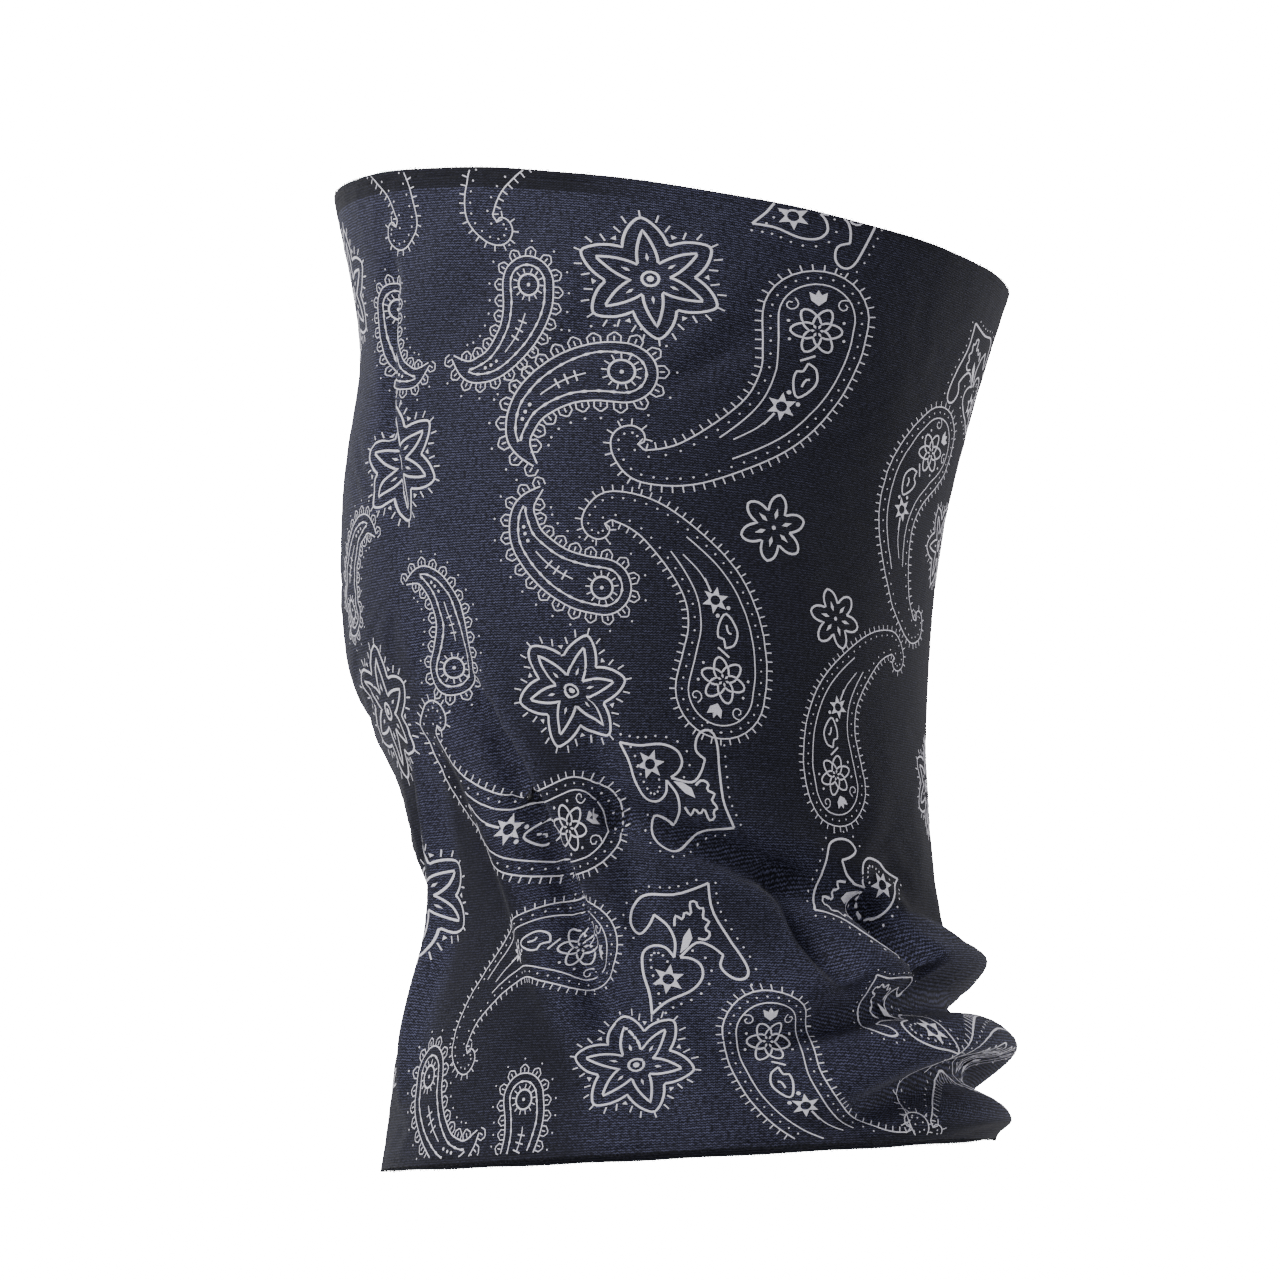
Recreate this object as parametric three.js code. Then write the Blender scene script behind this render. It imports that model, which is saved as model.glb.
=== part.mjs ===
// A neck gaiter: one seamless tube of stretch knit, as it stands when worn over head and neck.
// Millimetres, +Z up. The wearer faces +X. The origin is the middle of the wearer's head.
import * as THREE from 'three';

// Driving dimensions of the cloth
const fabricWall = 1.2; // knit with its loft
const pieceGap = 0.3; // between pieces that touch
const edgeDepth = 2.4; // sealed cut edge, measured along the tube
const edgeSwell = 0.25; // how far the sealed edge stands out from the knit on each side
const labelWidth = 24;
const labelHeight = 34;
const labelThickness = 0.6;
const labelGap = 0.9; // the label hangs clear of the knit
const labelRise = 7; // from the lower end of the knit to the label
const stitchWidth = 17;
const stitchHeight = 1.1;
const stitchThickness = 0.5;
const stitchDrop = 2.5; // from the top of the label to its sewing line
const crumpleDepth = 2.5; // soft upright folds below the chin
const crumpleCount = 9;

// Closed rings of the worn tube, from the lower end to the upper one. level is the height at x = 0,
// back, front and side are the reaches from the origin, and slope tilts the ring about Y.
// peak draws the ring in towards the front, and slack is how much of the crumple a ring carries.
const rings = [
  { level: -176, back: 84, front: 108, side: 77, slope: -0.05, peak: 0.0, slack: 1.0 },
  { level: -141, back: 79, front: 106, side: 71, slope: -0.03, peak: 0.02, slack: 1.0 },
  { level: -102, back: 67, front: 94, side: 63, slope: 0.0, peak: 0.06, slack: 0.6 },
  { level: -66, back: 75, front: 90, side: 67, slope: 0.0, peak: 0.1, slack: 0.2 },
  { level: -24, back: 97, front: 90, side: 76, slope: 0.03, peak: 0.1, slack: 0.0 },
  { level: 24, back: 100, front: 94, side: 81, slope: 0.08, peak: 0.06, slack: 0.0 },
  { level: 70, back: 95, front: 104, side: 82, slope: 0.13, peak: 0.0, slack: 0.0 },
  { level: 116, back: 105, front: 117, side: 82, slope: 0.18, peak: 0.0, slack: 0.0 },
];

// Mesh steps
const stepsAround = 56;
const stepsAlong = 22;
const labelSteps = 6;

const lowerLevel = rings[0].level;
const upperLevel = rings[rings.length - 1].level;

// Value of one ring measure at any level, as a smooth curve through all the rings.
function measureAt(name, level) {
  const inside = THREE.MathUtils.clamp(level, lowerLevel, upperLevel);
  let above = 1;
  while (above < rings.length - 1 && rings[above].level < inside) {
    above += 1;
  }
  const low = rings[above - 1];
  const high = rings[above];
  const span = high.level - low.level;
  const part = (inside - low.level) / span;
  const before = rings[Math.max(above - 2, 0)];
  const after = rings[Math.min(above + 1, rings.length - 1)];
  const lowRate = ((high[name] - before[name]) / (high.level - before.level)) * span;
  const highRate = ((after[name] - low[name]) / (after.level - low.level)) * span;
  const part2 = part * part;
  const part3 = part2 * part;
  return (
    (2 * part3 - 3 * part2 + 1) * low[name] +
    (part3 - 2 * part2 + part) * lowRate +
    (3 * part2 - 2 * part3) * high[name] +
    (part3 - part2) * highRate
  );
}

// Point on the worn tube: turn goes round from the front, inset is the depth below the outer face.
function tubePoint(turn, level, inset) {
  const ahead = Math.cos(turn);
  const crumple = crumpleDepth * measureAt('slack', level) * Math.cos(crumpleCount * turn);
  const reachX = (ahead > 0 ? measureAt('front', level) : measureAt('back', level)) - inset + crumple;
  const reachY = measureAt('side', level) - inset + crumple;
  const drawIn = 1 - measureAt('peak', level) * Math.max(ahead, 0) ** 2;
  const x = reachX * ahead;
  const y = reachY * Math.sin(turn) * drawIn;
  return new THREE.Vector3(x, y, level - measureAt('slope', level) * x);
}

// Closed mesh from a grid of points whose rows each close on themselves. The rows may close too.
function meshFromGrid(rows, closeRows, material, name) {
  const count = rows[0].length;
  const points = rows.flat();
  const faces = [];
  const strips = closeRows ? rows.length : rows.length - 1;
  for (let row = 0; row < strips; row += 1) {
    const next = (row + 1) % rows.length;
    for (let column = 0; column < count; column += 1) {
      const right = (column + 1) % count;
      const [low, lowRight] = [row * count + column, row * count + right];
      const [high, highRight] = [next * count + column, next * count + right];
      faces.push(low, lowRight, highRight, low, highRight, high);
    }
  }
  if (!closeRows) {
    const last = (rows.length - 1) * count;
    for (let column = 1; column < count - 1; column += 1) {
      faces.push(0, column + 1, column);
      faces.push(last, last + column, last + column + 1);
    }
  }
  const geometry = new THREE.BufferGeometry().setFromPoints(points);
  geometry.setIndex(faces);
  geometry.computeVertexNormals();
  const mesh = new THREE.Mesh(geometry, material);
  mesh.name = name;
  return mesh;
}

// Wall of the tube between two levels, as rings up the outer face and down the inner one.
function tubeWall(name, from, to, steps, outerInset, innerInset, material) {
  const rows = [];
  const ring = (level, inset) => {
    const points = [];
    for (let step = 0; step < stepsAround; step += 1) {
      points.push(tubePoint((step / stepsAround) * Math.PI * 2, level, inset));
    }
    return points;
  };
  for (let step = 0; step <= steps; step += 1) {
    rows.push(ring(THREE.MathUtils.lerp(from, to, step / steps), outerInset));
  }
  for (let step = steps; step >= 0; step -= 1) {
    rows.push(ring(THREE.MathUtils.lerp(from, to, step / steps), innerInset));
  }
  return meshFromGrid(rows, true, material, name);
}

// Small patch that lies against the inside of the tube at the back: each row of the grid goes
// round the edge of one cross-cut through the patch.
function innerPatch(name, width, from, to, outerInset, innerInset, material) {
  const halfTurn = width / 2 / measureAt('back', from);
  const rows = [];
  for (let step = 0; step <= labelSteps; step += 1) {
    const turn = THREE.MathUtils.lerp(Math.PI - halfTurn, Math.PI + halfTurn, step / labelSteps);
    const outline = [];
    for (let rise = 0; rise <= labelSteps; rise += 1) {
      outline.push(tubePoint(turn, THREE.MathUtils.lerp(from, to, rise / labelSteps), innerInset));
    }
    for (let rise = labelSteps; rise >= 0; rise -= 1) {
      outline.push(tubePoint(turn, THREE.MathUtils.lerp(from, to, rise / labelSteps), outerInset));
    }
    rows.push(outline);
  }
  return meshFromGrid(rows, false, material, name);
}

function fabric(colour, roughness) {
  return new THREE.MeshStandardMaterial({ color: colour, roughness, metalness: 0 });
}

const gaiter = new THREE.Group();

// Body of the tube, knitted without a side seam
const knitTop = upperLevel - edgeDepth - pieceGap;
const knitBottom = lowerLevel + edgeDepth + pieceGap;
gaiter.add(tubeWall('knit_tube', knitBottom, knitTop, stepsAlong, 0, fabricWall, fabric(0x2a2c3e, 0.85)));

// Cut ends, where the heat of the blade has sealed the yarns into a firm edge
const edgeInner = fabricWall + edgeSwell;
const sealed = fabric(0x202232, 0.8);
gaiter.add(tubeWall('upper_cut_edge', knitTop + pieceGap, upperLevel, 1, -edgeSwell, edgeInner, sealed));
gaiter.add(tubeWall('lower_cut_edge', lowerLevel, knitBottom - pieceGap, 1, -edgeSwell, edgeInner, sealed));

// Blank fibre label inside the back, and the sewing line that holds its top
const labelFrom = knitBottom + labelRise;
const labelTo = labelFrom + labelHeight;
const labelOuter = fabricWall + labelGap;
const labelInner = labelOuter + labelThickness;
const satin = fabric(0xd8d8dc, 0.6);
gaiter.add(innerPatch('fibre_label', labelWidth, labelFrom, labelTo, labelOuter, labelInner, satin));
const stitchTo = labelTo - stitchDrop;
const stitchOuter = labelInner + pieceGap;
const stitchInner = stitchOuter + stitchThickness;
const stitches = fabric(0x1c1d2a, 0.7);
gaiter.add(
  innerPatch('label_stitching', stitchWidth, stitchTo - stitchHeight, stitchTo, stitchOuter, stitchInner, stitches),
);

export default gaiter;
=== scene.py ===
import math

import bmesh
import bpy
import numpy as np
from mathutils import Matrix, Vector


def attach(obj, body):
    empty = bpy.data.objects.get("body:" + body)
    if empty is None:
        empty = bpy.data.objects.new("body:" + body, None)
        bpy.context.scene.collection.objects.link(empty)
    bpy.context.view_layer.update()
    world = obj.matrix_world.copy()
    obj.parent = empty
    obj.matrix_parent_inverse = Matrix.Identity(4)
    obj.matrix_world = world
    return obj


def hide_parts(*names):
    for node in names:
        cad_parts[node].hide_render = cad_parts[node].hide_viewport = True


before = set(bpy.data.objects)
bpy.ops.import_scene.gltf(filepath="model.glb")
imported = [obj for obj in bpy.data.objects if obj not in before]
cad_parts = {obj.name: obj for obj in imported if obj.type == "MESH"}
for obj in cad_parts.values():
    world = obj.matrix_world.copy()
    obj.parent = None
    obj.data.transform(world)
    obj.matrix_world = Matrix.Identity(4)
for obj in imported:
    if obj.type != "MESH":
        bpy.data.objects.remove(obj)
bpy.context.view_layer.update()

mm = 0.001
print("frame loaded:", ", ".join(sorted(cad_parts)))

# camera, before anything else is made
cameraView = {
    "azimuth": 14.0,
    "elevation": -9.5,
    "distance": 1.0,
    "aim": (-0.003, 0.0, -0.013),
    "frameWidth": 0.4096,  # m across at the gaiter
    "sensor": 36.0,
}


def newObject(name, data):
    thing = bpy.data.objects.new(name, data)
    bpy.context.scene.collection.objects.link(thing)
    return thing


def aim(thing, place, away):
    # stands at a place and looks back along the way to it
    thing.location = place
    thing.rotation_mode = "QUATERNION"
    thing.rotation_quaternion = (-away).to_track_quat("-Z", "Y")


def makeCamera(view):
    turn, lift = math.radians(view["azimuth"]), math.radians(view["elevation"])
    back = Vector((math.sin(turn) * math.cos(lift), -math.cos(turn) * math.cos(lift), math.sin(lift)))
    data = bpy.data.cameras.new("camera")
    data.sensor_width = view["sensor"]
    data.lens = view["sensor"] * view["distance"] / view["frameWidth"]
    camera = newObject("camera", data)
    aim(camera, Vector(view["aim"]) + back * view["distance"], back)
    data.clip_start, data.clip_end = 0.02, 50.0
    bpy.context.scene.camera = camera


makeCamera(cameraView)

# the worn shape of the tube
tube = {
    "girth": 500.0,  # flat, round the tube, mm
    "length": 335.0,  # flat, along the tube, mm
    "around": 248,  # mesh steps round the tube
    "along": 190,  # mesh steps along it
    "simAround": 160,
    "simAlong": 116,
    "thickness": 0.6,
    "edgeDepth": 2.4,
}

# closed rings of the worn tube from the lower end to the upper one, in mm, as the solids have them
ringNames = ("level", "back", "front", "side", "slope", "peak")
wornRings = np.array([
    (-176, 84, 108, 77, -0.05, 0.00),
    (-141, 79, 106, 71, -0.03, 0.02),
    (-102, 67, 94, 63, 0.00, 0.06),
    (-66, 75, 90, 67, 0.00, 0.10),
    (-24, 97, 90, 76, 0.03, 0.10),
    (24, 100, 94, 81, 0.08, 0.06),
    (70, 95, 104, 82, 0.13, 0.00),
    (116, 105, 117, 82, 0.18, 0.00),
], float)

# a plain head without a face, a neck and shoulders, which hold the tube up while it is draped, never shown
wearerRings = np.array([
    (-200, 95, 100, 110, 0.00, 0.00),
    (-176, 74, 84, 72, -0.05, 0.00),
    (-141, 66, 62, 60, -0.03, 0.00),
    (-105, 62, 64, 57, 0.00, 0.04),
    (-75, 70, 82, 63, 0.00, 0.12),
    (-45, 86, 86, 71, 0.02, 0.12),
    (0, 98, 88, 77, 0.05, 0.10),
    (45, 96, 88, 80, 0.10, 0.04),
    (100, 85, 78, 72, 0.16, 0.00),
], float)


def ringMeasure(rings, name, level):
    heights, values = rings[:, 0], rings[:, ringNames.index(name)]
    last = len(heights) - 1
    level = np.clip(level, heights[0], heights[last])
    high = np.clip(np.searchsorted(heights, level), 1, last)
    low = high - 1
    before, after = np.maximum(low - 1, 0), np.minimum(high + 1, last)
    span = heights[high] - heights[low]
    part = (level - heights[low]) / span
    lowRate = (values[high] - values[before]) / (heights[high] - heights[before]) * span
    highRate = (values[after] - values[low]) / (heights[after] - heights[low]) * span
    return (
        (2 * part**3 - 3 * part**2 + 1) * values[low]
        + (part**3 - 2 * part**2 + part) * lowRate
        + (3 * part**2 - 2 * part**3) * values[high]
        + (part**3 - part**2) * highRate
    )


def ringPoint(rings, turn, level):
    ahead = np.cos(turn)
    front, back = ringMeasure(rings, "front", level), ringMeasure(rings, "back", level)
    drawIn = 1 - ringMeasure(rings, "peak", level) * np.maximum(ahead, 0) ** 2
    x = np.where(ahead > 0, front, back) * ahead
    y = ringMeasure(rings, "side", level) * np.sin(turn) * drawIn
    return np.stack([x, y, level - ringMeasure(rings, "slope", level) * x], -1)


def gridNormals(grid):
    around = np.roll(grid, -1, 1) - np.roll(grid, 1, 1)
    along = np.empty_like(grid)
    along[1:-1] = grid[2:] - grid[:-2]
    along[0], along[-1] = grid[1] - grid[0], grid[-1] - grid[-2]
    normals = np.cross(around, along)
    return normals / np.linalg.norm(normals, axis=2, keepdims=True)


def resample(grid, rows, columns):
    for axis, count in ((0, rows), (1, columns)):
        size = grid.shape[axis]
        closed = axis == 1
        spot = np.arange(count) * (size / count if closed else (size - 1) / (count - 1))
        first = np.minimum(np.floor(spot).astype(int), size - 1)
        part = (spot - first).reshape([-1 if a == axis else 1 for a in range(grid.ndim)])
        picks = []
        for shift in (-1, 0, 1, 2):
            index = first + shift
            index = index % size if closed else np.clip(index, 0, size - 1)
            picks.append(np.take(grid, index, axis))
        a, b, c, d = picks
        grid = b + 0.5 * part * (c - a + part * (2 * a - 5 * b + 4 * c - d + part * (3 * (b - c) + d - a)))
    return grid


def newPiece(name, points, edges, faces):
    mesh = bpy.data.meshes.new(name)
    mesh.from_pydata([tuple(p) for p in points], edges, faces)
    return newObject(name, mesh)


def gridObject(name, grid, closeRows=False):
    rows, columns = grid.shape[:2]
    row = np.arange(rows if closeRows else rows - 1)
    column = np.arange(columns)
    low = row[:, None] * columns + column
    lowNext = row[:, None] * columns + (column + 1) % columns
    up = ((row + 1) % rows)[:, None] * columns
    faces = np.stack([low, lowNext, up + (column + 1) % columns, up + column], -1).reshape(-1, 4)
    piece = newPiece(name, grid.reshape(-1, 3), [], [tuple(f) for f in faces.tolist()])
    piece.data.shade_smooth()
    return piece


foldScale = 88.0  # mm of cloth for a radian of turn
foldSteps = 20
creaseWidth = 5.0
rimEase = 14.0  # mm from a rim over which the folds fade away

# folds that both sides have, each drawn from one place to another: start and end as turn from the
# front in degrees and level in mm, how the middle bows, then how far it stands out, its breadth, how far it
# tips over and what is pressed in again after draping, all in mm
pairedFolds = [
    # slack cloth where the plain head ends and the neck begins
    ((90, -75), (30, -105), (0, 0), -7.0, 6.5, 0.0, -3.0),
    # short upright folds below it
    ((55, -90), (45, -130), (0, 0), -5.0, 4.5, 0.0, -2.5),
    ((35, -95), (25, -125), (0, 0), -7.0, 6.0, 0.0, -3.5),
    # the long valley from the nape to the collar, the ridge behind it and a soft valley in front
    ((120, -10), (75, -165), (5, 0), -7.5, 6.0, 0.0, -3.2),
    ((130, -10), (90, -155), (5, 0), 4.0, 6.0, 3.0, 0.0),
    ((95, -15), (80, -120), (0, 0), -4.5, 5.5, 0.0, -2.5),
    # the back of the head and the nape
    ((135, 95), (125, 0), (5, 0), -5.0, 4.5, 0.0, -4.0),
    ((130, -30), (145, -160), (5, 0), 6.0, 6.0, 5.0, 0.0),
    ((155, -50), (155, -155), (5, 0), -5.0, 6.0, 0.0, 0.0),
]

# rolls of slack cloth under the chin, the top one first, with a valley below each but the last
chinRolls = {
    "count": 3,
    "top": -115.0,
    "pitch": 26.0,
    "reach": 70.0,  # degrees on the near side
    "step": 12.0,  # degrees shorter at each roll
    "farShare": 0.75,
    "droop": 24.0,  # how far the ends hang
    "out": 8.5,
    "wide": 6.5,
    "lean": 6.0,
    "valley": -8.0,
    "press": -3.2,
}


def foldRun(start, end, bow, out, wide, lean, press):
    start, end, bow = (np.array(spot, float) for spot in (start, end, bow))
    part = np.linspace(0, 1, 7)[:, None]
    route = start + (end - start) * part + bow * 4 * part * (1 - part)
    return {"route": route, "out": out, "wide": wide, "lean": lean, "press": press}


def sideFolds(pairs):
    runs = []
    for pair in pairs:
        for side in (-1, 1):
            *spots, out, wide, lean, press = pair
            start, end, bow = ((side * spot[0], spot[1]) for spot in spots)
            runs.append(foldRun(start, end, bow, out, wide, -side * lean, press))
    return runs


def rollFolds(rolls):
    runs = []
    for index in range(rolls["count"]):
        level = rolls["top"] - rolls["pitch"] * index - rolls["droop"]
        reach = rolls["reach"] - rolls["step"] * index
        start, end = (-reach, level), (reach * rolls["farShare"], level)
        bow = (0, rolls["droop"])
        runs.append(foldRun(start, end, bow, rolls["out"], rolls["wide"], rolls["lean"], 0.0))
        if index < rolls["count"] - 1:
            below = -rolls["pitch"] / 2
            start, end = (start[0], level + below), (end[0], level + below)
            runs.append(foldRun(start, end, bow, rolls["valley"], rolls["wide"] - 1, 0.0, rolls["press"]))
    return runs


folds = sideFolds(pairedFolds) + rollFolds(chinRolls)
creases = [dict(run, out=run["press"], wide=creaseWidth, lean=0.0) for run in folds if run["press"]]


def smoothRoute(points, count):
    points = np.asarray(points, float)
    spot = np.linspace(0, len(points) - 1, count)
    first = np.minimum(spot.astype(int), len(points) - 2)
    part = (spot - first)[:, None]
    last = len(points) - 1
    a, b = points[np.maximum(first - 1, 0)], points[first]
    c, d = points[first + 1], points[np.minimum(first + 2, last)]
    return b + 0.5 * part * (c - a + part * (2 * a - 5 * b + 4 * c - d + part * (3 * (b - c) + d - a)))


def foldShift(folds, turn, level):
    out, sideways, endways = np.zeros_like(turn), np.zeros_like(turn), np.zeros_like(turn)
    for fold in folds:
        degrees = np.array([spot[0] for spot in fold["route"]], float)
        degrees = np.degrees(np.unwrap(np.radians(degrees)))
        levels = [spot[1] for spot in fold["route"]]
        route = smoothRoute(np.stack([np.radians(degrees), levels], -1), foldSteps)
        best = np.full(turn.shape, 1e9)
        where, sideTurn, sideLevel = np.zeros_like(turn), np.zeros_like(turn), np.zeros_like(turn)
        for index in range(len(route) - 1):
            start, end = route[index], route[index + 1]
            away = (turn - start[0] + math.pi) % (2 * math.pi) - math.pi
            x, y = away * foldScale, level - start[1]
            runX, runY = (end[0] - start[0]) * foldScale, end[1] - start[1]
            length = math.hypot(runX, runY)
            part = np.clip((x * runX + y * runY) / length**2, 0, 1)
            gap = np.hypot(x - part * runX, y - part * runY)
            nearer = gap < best
            best = np.where(nearer, gap, best)
            where = np.where(nearer, (index + part) / (len(route) - 1), where)
            sideTurn = np.where(nearer, runY / length, sideTurn)
            sideLevel = np.where(nearer, -runX / length, sideLevel)
        swell = np.sin(np.clip(where, 0, 1) * math.pi) ** 0.7 * np.exp(-((best / fold["wide"]) ** 2))
        out += fold["out"] * swell
        sideways += fold["lean"] * swell * sideTurn
        endways += fold["lean"] * swell * sideLevel
    return out, sideways, endways


def foldGrid(grid, folds, turn, level):
    normals = gridNormals(grid)
    fromRim = np.minimum(level - wornRings[0, 0], wornRings[-1, 0] - level)
    ease = np.clip(fromRim / rimEase, 0, 1)
    out, sideways, endways = (part * ease for part in foldShift(folds, turn, level))
    across = np.roll(grid, -1, 1) - np.roll(grid, 1, 1)
    across /= np.linalg.norm(across, axis=2, keepdims=True)
    up = np.cross(normals, across)
    return grid + normals * out[..., None] + across * sideways[..., None] + up * endways[..., None]


def gridPlaces(rings, rows, columns):
    turns = np.arange(columns) / columns * 2 * math.pi
    return np.meshgrid(turns, np.linspace(rings[0, 0], rings[-1, 0], rows))


drape = {
    "wearerAround": 96,
    "wearerAlong": 90,
    "frames": 22,
    "quality": 5,
    "weight": 0.0004,  # kg at each corner of the cloth
    "shear": 2.0,
    "damping": 8.0,
    "airDrag": 4.0,
    "friction": 6.0,
    "gravity": 0.6,
    "tension": 14.0,
    "bending": 0.25,
    "gap": 1.0,  # mm between cloth and wearer
    "slackBelow": 1.035,  # cloth to spare round the neck
    "tautAbove": 0.988,  # cloth under stretch round the head
}


def drapeCloth(grid):
    rows, columns = grid.shape[:2]
    cloth = gridObject("drape_cloth", grid * mm)
    # the cloth is cut larger than the worn shape round the neck and smaller round the head
    share = np.clip((grid[..., 2:] + 90) / 100, 0, 1)
    share = share * share * (3 - 2 * share)
    rest = grid * (drape["slackBelow"] + (drape["tautAbove"] - drape["slackBelow"]) * share)
    cloth.shape_key_add(name="worn")
    key = cloth.shape_key_add(name="rest")
    key.data.foreach_set("co", (rest * mm).ravel())
    pins = cloth.vertex_groups.new(name="pins")
    edge = list(range(columns)) + list(range((rows - 1) * columns, rows * columns))
    pins.add(edge, 1.0, "REPLACE")
    turns, levels = gridPlaces(wearerRings, drape["wearerAlong"], drape["wearerAround"])
    wearer = gridObject("wearer", ringPoint(wearerRings, turns, levels) * mm)
    wearer.modifiers.new("collision", "COLLISION")
    wearer.collision.thickness_outer = drape["gap"] * mm
    wearer.collision.cloth_friction = drape["friction"]
    modifier = cloth.modifiers.new("cloth", "CLOTH")
    settings = modifier.settings
    settings.quality = drape["quality"]
    settings.mass = drape["weight"]
    settings.tension_stiffness = settings.compression_stiffness = drape["tension"]
    settings.shear_stiffness = drape["shear"]
    settings.bending_stiffness = drape["bending"]
    settings.tension_damping = settings.compression_damping = drape["damping"]
    settings.air_damping = drape["airDrag"]
    settings.rest_shape_key = key
    settings.vertex_group_mass = "pins"
    settings.effector_weights.gravity = drape["gravity"]
    modifier.collision_settings.distance_min = drape["gap"] * mm
    modifier.collision_settings.collision_quality = 2
    scene = bpy.context.scene
    scene.frame_start, scene.frame_end = 1, drape["frames"]
    modifier.point_cache.frame_start, modifier.point_cache.frame_end = 1, drape["frames"]
    for step in range(1, drape["frames"] + 1):
        scene.frame_set(step)
    shaped = cloth.evaluated_get(bpy.context.evaluated_depsgraph_get())
    points = np.empty(rows * columns * 3)
    shaped.data.vertices.foreach_get("co", points)
    for thing in (cloth, wearer):
        mesh = thing.data
        bpy.data.objects.remove(thing)
        bpy.data.meshes.remove(mesh)
    scene.frame_set(1)
    return points.reshape(rows, columns, 3) / mm


def wornGrid():
    turn, level = gridPlaces(wornRings, tube["simAlong"], tube["simAround"])
    start = foldGrid(ringPoint(wornRings, turn, level), folds, turn, level)
    start = drapeCloth(start)
    print("cloth draped")
    fine = resample(start, tube["along"], tube["around"])
    return foldGrid(fine, creases, *gridPlaces(wornRings, tube["along"], tube["around"]))


cloth = wornGrid()
clothNormals = gridNormals(cloth)
print("worn shape ready")


def clothSpot(around, along, lift):
    rows, columns = cloth.shape[:2]
    column = np.asarray(around) / tube["girth"] * columns
    row = np.clip(np.asarray(along) / tube["length"], 0, 1) * (rows - 1)
    c0, r0 = np.floor(column).astype(int), np.minimum(np.floor(row).astype(int), rows - 2)
    cPart, rPart = (column - c0)[..., None], (row - r0)[..., None]
    c0, c1 = c0 % columns, (c0 + 1) % columns

    def mix(values):
        lower = values[r0, c0] * (1 - cPart) + values[r0, c1] * cPart
        upper = values[r0 + 1, c0] * (1 - cPart) + values[r0 + 1, c1] * cPart
        return lower * (1 - rPart) + upper * rPart

    return mix(cloth) + mix(clothNormals) * np.asarray(lift)[..., None]


def addUv(mesh, uv):
    layer = mesh.uv_layers.new(name="flat")
    loops = np.empty(len(mesh.loops), int)
    mesh.loops.foreach_get("vertex_index", loops)
    layer.data.foreach_set("uv", uv[loops].astype(np.float32).ravel())


def fixSeam(mesh, width):
    layer = mesh.uv_layers["flat"]
    uv = np.empty(len(mesh.loops) * 2, np.float32)
    layer.data.foreach_get("uv", uv)
    uv = uv.reshape(-1, 4, 2)
    across = uv[:, :, 0].max(1) - uv[:, :, 0].min(1) > width / 2
    low = uv[:, :, 0] < width / 2
    uv[:, :, 0] += np.where(across[:, None] & low, width, 0)
    layer.data.foreach_set("uv", uv.ravel())


def makeTubeBand(name, fromRow, toRow, outer, inner):
    grid = np.concatenate([outer[fromRow:toRow], inner[fromRow:toRow][::-1]])
    piece = gridObject(name, grid * mm, closeRows=True)
    along = np.linspace(0, tube["length"], tube["along"])[fromRow:toRow]
    along = np.concatenate([along, along[::-1]])
    around = np.arange(tube["around"]) / tube["around"] * tube["girth"]
    uv = np.stack(np.meshgrid(around, along), -1).reshape(-1, 2) * mm
    addUv(piece.data, uv)
    fixSeam(piece.data, tube["girth"] * mm)
    return piece


innerCloth = cloth - clothNormals * tube["thickness"]
knitTube = makeTubeBand("gaiter_tube", 1, tube["along"] - 1, cloth, innerCloth)
print("tube built:", len(knitTube.data.polygons), "faces")

# the print: pale line motifs inked into the knit
ink = {
    "line": 0.74,  # mm, main outlines
    "fine": 0.44,  # mm, long contours, ticks and stems
    "dot": 0.38,  # mm, radius of the small dots
    "step": 1.15,  # mm between points along a line
    "edgeLift": 0.06,  # mm over the knit at the edges of a line
    "lift": 0.15,  # and along its middle
    "widerWorn": 1.15,  # how far the worn cloth is stretched round the tube
    "shorterWorn": 0.87,  # and drawn in along it
}


def bend(points, count=8):
    part = np.linspace(0, 1, count)[:, None]
    a, b, c = (np.asarray(p, float) for p in points)
    return (1 - part) ** 2 * a + 2 * part * (1 - part) * b + part**2 * c


def polar(radius, degrees):
    angle = math.radians(degrees)
    return (radius * math.cos(angle), radius * math.sin(angle))


def ringLine(centre, radius, count=20):
    angles = np.linspace(0, 2 * math.pi, count + 1)
    return np.stack([centre[0] + radius * np.cos(angles), centre[1] + radius * np.sin(angles)], -1)


def dotFill(centre, radius=None):
    return ("fill", ringLine(centre, radius or ink["dot"], 7)[:-1])


def petalFill(start, end, width):
    start, end = np.asarray(start, float), np.asarray(end, float)
    run = end - start
    across = np.array([-run[1], run[0]]) / np.hypot(*run) * width / 2
    return ("fill", np.array([start, start + run * 0.4 + across, end, start + run * 0.4 - across]))


def evenly(points, spacing):
    points = np.asarray(points, float)
    steps = np.hypot(*np.diff(points, axis=0).T)
    run = np.concatenate([[0], np.cumsum(steps)])
    count = max(int(round(run[-1] / spacing)), 1)
    marks = np.linspace(0, run[-1], count + 1)
    spots = np.stack([np.interp(marks, run, points[:, 0]), np.interp(marks, run, points[:, 1])], -1)
    tangents = np.gradient(spots, axis=0) if count > 1 else np.repeat(points[-1:] - points[:1], 2, 0)
    length = np.hypot(*tangents.T)[:, None]
    return spots, tangents / np.maximum(length, 1e-9)


def ticksAlong(points, spacing, near, far, width, side=1):
    spots, tangents = evenly(points, spacing)
    normals = np.stack([tangents[:, 1], -tangents[:, 0]], -1) * side
    return [("line", np.array([p + n * near, p + n * far]), width) for p, n in zip(spots[:-1], normals[:-1])]


def dotsAlong(points, spacing, away, side=1, radius=None):
    spots, tangents = evenly(points, spacing)
    normals = np.stack([tangents[:, 1], -tangents[:, 0]], -1) * side
    return [dotFill(p + n * away, radius) for p, n in zip(spots[:-1], normals[:-1])]


petals = 6


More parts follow.
